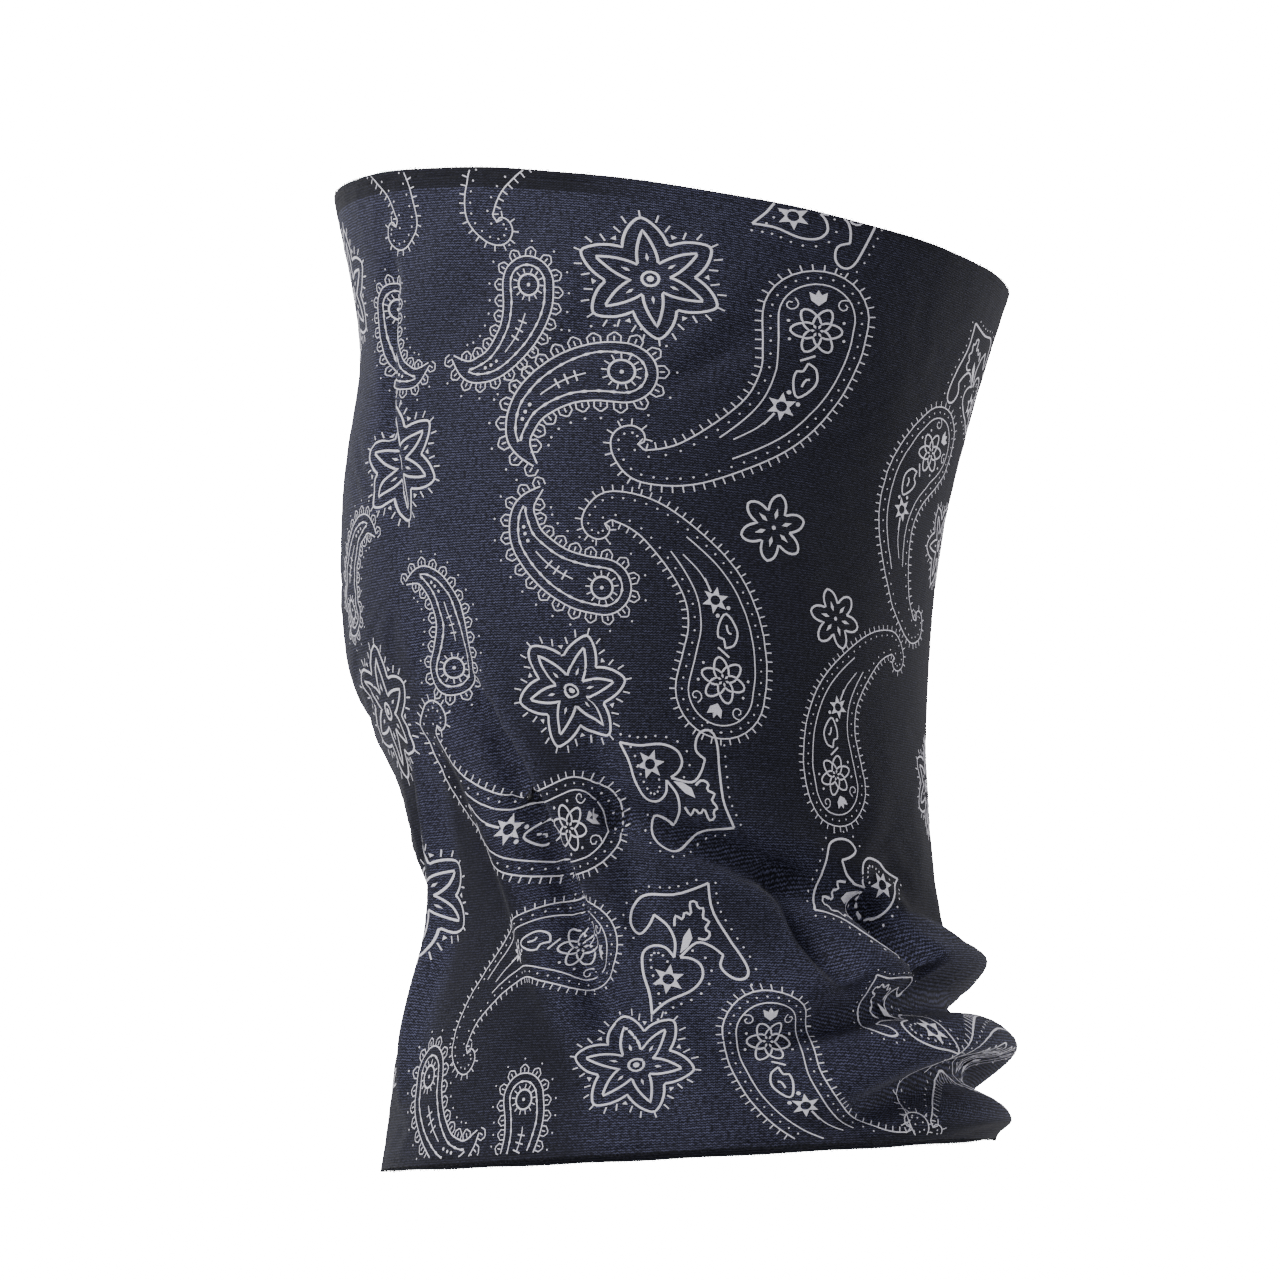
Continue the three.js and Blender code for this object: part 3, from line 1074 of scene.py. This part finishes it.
def jerseyGroup():
    # V-shaped loops in rows on the flat map: how light, how high, plus slow streaks along the courses
    tree, inputs, outputs = nodeTree("jersey loops", "ShaderNodeTree", (
        ("Flat", "NodeSocketVector", None),
        ("Wale", "NodeSocketFloat", 0.62),
        ("Course", "NodeSocketFloat", 0.78),
    ), [(label, "NodeSocketFloat", None) for label in ("Loop", "Height", "Streak")])
    scaled = add(tree, "ShaderNodeVectorMath",
                 {0: inputs["Flat"], 1: (1000, 1000, 1000)}, operation="MULTIPLY")
    place = add(tree, "ShaderNodeSeparateXYZ", {0: scaled.outputs[0]})
    drift = add(tree, "ShaderNodeTexNoise", {"Vector": scaled.outputs[0], "Scale": 0.35, "Detail": 2.0})
    wander = maths(tree, "MULTIPLY", drift.outputs[0], 0.8)
    acrossWale = maths(tree, "FRACT", maths(tree, "DIVIDE", place.outputs[0], inputs["Wale"]))
    vee = maths(tree, "ABSOLUTE", maths(tree, "SUBTRACT", acrossWale, 0.5))
    row = maths(tree, "ADD", maths(tree, "DIVIDE", place.outputs[1], inputs["Course"]), vee)
    wave = maths(tree, "COSINE", maths(tree, "MULTIPLY", maths(tree, "ADD", row, wander), 2 * math.pi))
    high = maths(tree, "MULTIPLY_ADD", wave, 0.5, 0.5)
    leg = maths(tree, "SINE", maths(tree, "MULTIPLY", acrossWale, 2 * math.pi))
    legs = maths(tree, "ABSOLUTE", leg)
    sharp = maths(tree, "POWER", high, 1.8)
    loop = maths(tree, "MULTIPLY", sharp, maths(tree, "MULTIPLY_ADD", legs, 0.75, 0.25))
    grainMap = add(tree, "ShaderNodeVectorMath",
                   {0: scaled.outputs[0], 1: (0.9, 1.3, 1)}, operation="MULTIPLY")
    grain = add(tree, "ShaderNodeTexNoise", {"Vector": grainMap.outputs[0], "Scale": 1.25, "Detail": 1.0})
    uneven = add(tree, "ShaderNodeMapRange",
                 {"Value": grain.outputs[0], "From Min": 0.34, "From Max": 0.66,
                  "To Min": 0.15, "To Max": 1.7})
    loop = maths(tree, "MULTIPLY", loop, uneven.outputs[0])
    stretchedMap = add(tree, "ShaderNodeVectorMath",
                       {0: scaled.outputs[0], 1: (0.16, 1.5, 1)}, operation="MULTIPLY")
    streak = add(tree, "ShaderNodeTexNoise", {"Vector": stretchedMap.outputs[0], "Scale": 1.0, "Detail": 3.0})
    tree.links.new(loop, outputs["Loop"])
    tree.links.new(high, outputs["Height"])
    tree.links.new(streak.outputs[0], outputs["Streak"])
    return tree


def newMaterial(name, roughness, sheen=0.0):
    material = bpy.data.materials.new(name)
    material.use_nodes = True
    tree = material.node_tree
    shader = tree.nodes["Principled BSDF"]
    shader.inputs["Roughness"].default_value = roughness
    shader.inputs["Specular IOR Level"].default_value = 0.3
    if sheen:
        shader.inputs["Sheen Weight"].default_value = sheen
        shader.inputs["Sheen Roughness"].default_value = finish["sheenRoughness"]
    return material, tree, shader.inputs


def blendColours(tree, part, first, second):
    node = add(tree, "ShaderNodeMix", {0: part}, data_type="RGBA")
    for socket, value in ((node.inputs[6], first), (node.inputs[7], second)):
        if isinstance(value, bpy.types.NodeSocket):
            tree.links.new(value, socket)
        else:
            socket.default_value = value
    return node.outputs[2]


def jersey(tree):
    flat = add(tree, "ShaderNodeUVMap", uv_map="flat")
    knit = add(tree, "ShaderNodeGroup", node_tree=jerseyLoops)
    tree.links.new(flat.outputs[0], knit.inputs["Flat"])
    knit.inputs["Wale"].default_value, knit.inputs["Course"].default_value = finish["wale"], finish["course"]
    return flat.outputs[0], knit.outputs


def addBump(tree, sockets, height, distance, strength=0.6):
    bump = add(tree, "ShaderNodeBump", {"Height": height, "Distance": distance * mm, "Strength": strength})
    tree.links.new(bump.outputs[0], sockets["Normal"])


def knitMaterial(name):
    material, tree, sockets = newMaterial(name, finish["clothSmooth"], finish["sheen"])
    flat, knit = jersey(tree)
    place = add(tree, "ShaderNodeSeparateXYZ", {0: flat})
    stretch = add(tree, "ShaderNodeAttribute", attribute_name="stretch").outputs["Fac"]
    inside = add(tree, "ShaderNodeAttribute", attribute_name="inside").outputs["Fac"]
    opened = add(tree, "ShaderNodeMapRange",
                 {"Value": stretch, "From Min": 0.86, "From Max": 1.12, "To Min": 0.3, "To Max": 1.0})
    # painted shade: along the upper rim, round the back and both sides, the knit's light specks are dimmed
    # for the shade where the cloth turns in over the crown
    fromBack = maths(tree, "ABSOLUTE", maths(tree, "SUBTRACT", place.outputs[0], tube["girth"] * mm / 2))
    fadeFrom, fadeTo = (finish["shadeBandReach"] - finish["shadeBandFade"]) * mm, finish["shadeBandReach"] * mm
    reach = add(tree, "ShaderNodeMapRange",
                {"Value": fromBack, "From Min": fadeFrom, "From Max": fadeTo, "To Min": 1.0, "To Max": 0.0})
    shadeBandStart = (tube["length"] - finish["shadeBandDepth"]) * mm
    depth = add(tree, "ShaderNodeMapRange",
                {"Value": place.outputs[1], "From Min": shadeBandStart, "From Max": shadeBandStart + 0.5 * mm})
    band = maths(tree, "MULTIPLY", reach.outputs[0], depth.outputs[0])
    showing = maths(tree, "MULTIPLY", opened.outputs[0], maths(tree, "MULTIPLY_ADD", band, -0.8, 1.0))
    streaks = maths(tree, "MULTIPLY_ADD", knit["Streak"], 1.6, 0.1)
    part = maths(tree, "MULTIPLY", maths(tree, "MULTIPLY", knit["Loop"], streaks), showing, clamp=True)
    face = blendColours(tree, part, finish["clothDark"], finish["clothLight"])
    liningPart = maths(tree, "MULTIPLY", knit["Loop"], 0.8)
    lining = blendColours(tree, liningPart, finish["clothDark"], finish["clothInside"])
    tree.links.new(blendColours(tree, inside, face, lining), sockets["Base Color"])
    rough = add(tree, "ShaderNodeMapRange", {"Value": knit["Streak"], "To Min": finish["clothSmooth"],
                                             "To Max": finish["clothRough"]})
    tree.links.new(rough.outputs[0], sockets["Roughness"])
    addBump(tree, sockets, knit["Height"], finish["loopDepth"])
    return material


def inkMaterial():
    material, tree, sockets = newMaterial("printed_lines", 0.72, 0.1)
    _, knit = jersey(tree)
    part = maths(tree, "MULTIPLY_ADD", knit["Loop"], 0.55, 0.55, clamp=True)
    tree.links.new(blendColours(tree, part, finish["inkWorn"], finish["ink"]), sockets["Base Color"])
    addBump(tree, sockets, knit["Height"], finish["loopDepth"] * 0.7)
    return material


def edgeMaterial():
    material, tree, sockets = newMaterial("raw_edge", 0.9, 0.15)
    place = add(tree, "ShaderNodeTexCoord").outputs["Object"]
    fuzz = add(tree, "ShaderNodeTexNoise", {"Vector": place, "Scale": 1400.0, "Detail": 2.0})
    part = maths(tree, "MULTIPLY_ADD", fuzz.outputs[0], 1.2, -0.35, clamp=True)
    tree.links.new(blendColours(tree, part, finish["clothDark"], finish["edge"]), sockets["Base Color"])
    addBump(tree, sockets, fuzz.outputs[0], 0.1)
    return material


def satinMaterial():
    material, tree, sockets = newMaterial("label_satin", 0.42)
    flat = add(tree, "ShaderNodeUVMap", uv_map="flat").outputs[0]
    scaled = add(tree, "ShaderNodeVectorMath",
                 {0: flat, 1: (1000, 1000, 1000)}, operation="MULTIPLY").outputs[0]
    weave = add(tree, "ShaderNodeTexWave", {"Vector": scaled, "Scale": 1.6, "Distortion": 0.6, "Detail": 1.0})
    cross = add(tree, "ShaderNodeTexNoise", {"Vector": scaled, "Scale": 1.1, "Detail": 3.0})
    part = maths(tree, "MULTIPLY", weave.outputs[1], cross.outputs[0])
    tree.links.new(blendColours(tree, part, finish["satinShade"], finish["satin"]), sockets["Base Color"])
    addBump(tree, sockets, weave.outputs[1], 0.05)
    return material


def threadMaterial():
    material, tree, sockets = newMaterial("sewing_thread", 0.6, 0.2)
    place = add(tree, "ShaderNodeTexCoord").outputs["Object"]
    twist = add(tree, "ShaderNodeTexWave",
                {"Vector": place, "Scale": 900.0, "Distortion": 1.0}, bands_direction="DIAGONAL")
    shade = tuple(0.7 * part for part in finish["thread"][:3]) + (1,)
    tree.links.new(blendColours(tree, twist.outputs[1], shade, finish["thread"]), sockets["Base Color"])
    addBump(tree, sockets, twist.outputs[1], 0.04)
    return material


jerseyLoops = jerseyGroup()
stretch = stretchField()
shown = stretch[1:-1]
addMeasure(knitTube.data, "stretch", np.concatenate([shown, shown[::-1]]))
addMeasure(knitTube.data, "inside", np.concatenate([np.zeros_like(shown), np.ones_like(shown)]))
knitFinish, rimFinish = knitMaterial("printed_jersey"), knitMaterial("cut_jersey")
inkFinish, edgeFinish = inkMaterial(), edgeMaterial()
knitTube.data.materials.append(knitFinish)
for piece in printPieces:
    piece.data.materials.append(inkFinish)

edgePieces = []
yarnEnds = yarnEndTree()
for name, upper in (("upper_rim", True), ("lower_rim", False)):
    band, crown, out = rimBand(name, upper)
    band.data.materials.append(rimFinish)
    row = stretch[-1 if upper else 0]
    turnRow = rimEdge["rows"] if upper else rimEdge["rows"] + 1
    inner = np.arange(len(band.data.vertices)) // tube["around"] > turnRow
    addMeasure(band.data, "stretch", np.tile(row, len(band.data.vertices) // tube["around"]))
    addMeasure(band.data, "inside", inner if upper else ~inner)
    ends = lineObject(name + "_yarn_ends", crown, True, up=out)
    runTree(ends, yarnEnds, {
        "Spacing": rimEdge["loopEvery"] * mm,
        "Loop Size": rimEdge["loopSize"] * mm,
        "Seed": rimEdge["seed"] + upper,
        "Material": edgeFinish,
    })
    edgePieces.append((band, ends))
print("rims built:", [len(ends.data.polygons) for _, ends in edgePieces], "yarn faces")

careLabel = labelSheet()
careLabel.data.materials.append(satinMaterial())
stitchSpots = np.linspace(-0.5, 0.5, label["stitchPoints"]) * label["stitchWidth"] / ink["widerWorn"]
stitchAlong = label["top"] - label["stitchDrop"] / ink["shorterWorn"]
stitchDepth = -tube["thickness"] - label["away"] - label["thickness"] - label["stitchLift"]
stitchLine = clothSpot(tube["girth"] / 2 + stitchSpots, stitchAlong, stitchDepth)
deeper = clothSpot(tube["girth"] / 2 + stitchSpots, stitchAlong, stitchDepth - 1)
stitches = lineObject("label_stitches", stitchLine, False, up=deeper - stitchLine)
runTree(stitches, stitchTree(), {
    "Spacing": label["stitchEvery"] * mm,
    "Stitch Length": label["stitchLength"] * mm,
    "Thread": label["thread"] * mm,
    "Seed": label["seed"],
    "Material": threadMaterial(),
})
print("label and stitches built")

# what each piece rides on; the slot each stands for is listed beside it but not given to it
(upperRim, upperEnds), (lowerRim, lowerEnds) = edgePieces
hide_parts("knit_tube")
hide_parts("upper_cut_edge")
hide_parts("lower_cut_edge")
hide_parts("fibre_label")
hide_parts("label_stitching")
slots = [(knitTube, "knit"), (careLabel, "label_satin"), (stitches, "thread")]
slots += [(piece, "print") for piece in printPieces]
slots += [(piece, "cut_edge") for piece in (upperRim, upperEnds, lowerRim, lowerEnds)]
for piece, slotName in slots:
    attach(piece, "root")

# a white studio: bright paper all round, one soft key from the left, light wrapping round from behind
studio = {
    "paper": 26.0,
    "fill": 0.22,
    "floorLevel": -0.62,
    "floorSize": 5.0,
    "paperShade": (0.82, 0.82, 0.81, 1),
    "paperTone": (0.88, 0.88, 0.87, 1),
    "key": {"at": (-1.0, -1.1, 1.1), "size": 0.7, "power": 34.0, "colour": (1.0, 0.98, 0.96)},
    "front": {"at": (0.9, -1.3, 0.1), "size": 0.8, "power": 2.0, "colour": (0.95, 0.97, 1.0)},
    "wrapRight": {"at": (1.3, 0.75, 0.2), "size": 1.0, "power": 15.0, "colour": (1.0, 0.98, 0.95)},
    "wrapLeft": {"at": (-1.3, 0.7, 0.3), "size": 1.0, "power": 8.0, "colour": (0.96, 0.97, 1.0)},
}


def makeLight(name, values):
    data = bpy.data.lights.new(name, "AREA")
    data.energy, data.size, data.color = values["power"], values["size"], values["colour"]
    aim(newObject(name, data), values["at"], Vector(values["at"]))


def makeWorld():
    world = bpy.data.worlds.new("white_paper")
    world.use_nodes = True
    bpy.context.scene.world = world
    tree = world.node_tree
    seen = tree.nodes.new("ShaderNodeLightPath").outputs["Is Camera Ray"]
    strength = maths(tree, "MULTIPLY_ADD", seen, studio["paper"] - studio["fill"], studio["fill"])
    tree.nodes["Background"].inputs["Color"].default_value = (1, 1, 1, 1)
    tree.links.new(strength, tree.nodes["Background"].inputs["Strength"])


def makeFloor():
    half, level = studio["floorSize"] / 2, studio["floorLevel"]
    corners = [(-half, -half, level), (half, -half, level), (half, half, level), (-half, half, level)]
    floor = newPiece("floor", corners, [], [(0, 1, 2, 3)])
    material, tree, sockets = newMaterial("floor_paper", 0.9)
    grain = add(tree, "ShaderNodeTexNoise", {"Scale": 40.0, "Detail": 3.0})
    paper = blendColours(tree, grain.outputs[0], studio["paperShade"], studio["paperTone"])
    tree.links.new(paper, sockets["Base Color"])
    floor.data.materials.append(material)


for lamp in ("key", "front", "wrapRight", "wrapLeft"):
    makeLight(lamp, studio[lamp])
makeWorld()
makeFloor()
print("studio lit")
